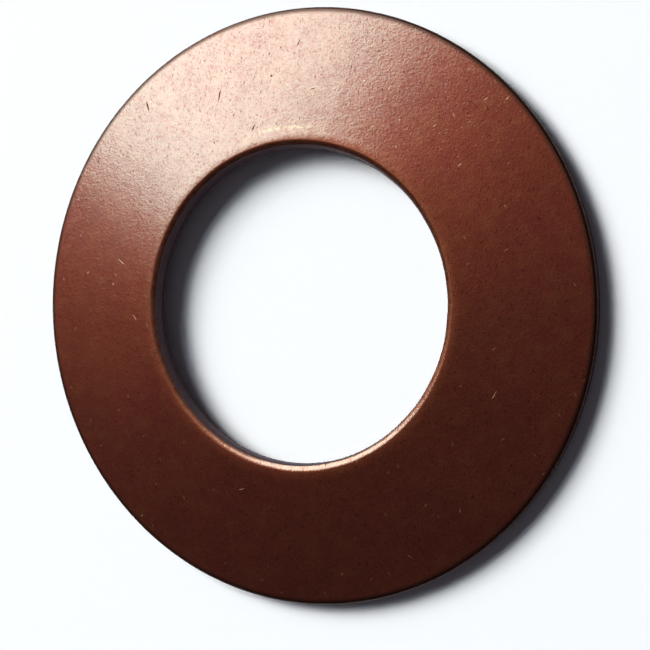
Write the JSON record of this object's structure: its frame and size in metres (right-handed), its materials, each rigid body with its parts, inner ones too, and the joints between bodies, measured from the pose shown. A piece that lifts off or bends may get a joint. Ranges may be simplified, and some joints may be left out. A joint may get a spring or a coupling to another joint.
{
  "type": "disc spring washer",
  "caption": "Coned disc-spring washer: a thin ring pressed into a shallow cone, with a plain round bore, standing on its outer edge.",
  "frame": {"origin": "on the axis, in the plane that the outer lower edge rests on", "axes": "+Z along the bore axis, towards the raised bore edge; X and Y are free, because the disc is round"},
  "size_m": [0.05, 0.05, 0.0026],
  "materials": {
    "spring_bronze": "tumbled satin copper-brown"
  },
  "bodies": {
    "root": {"disc_spring": "spring_bronze"}
  },
  "joints": []
}
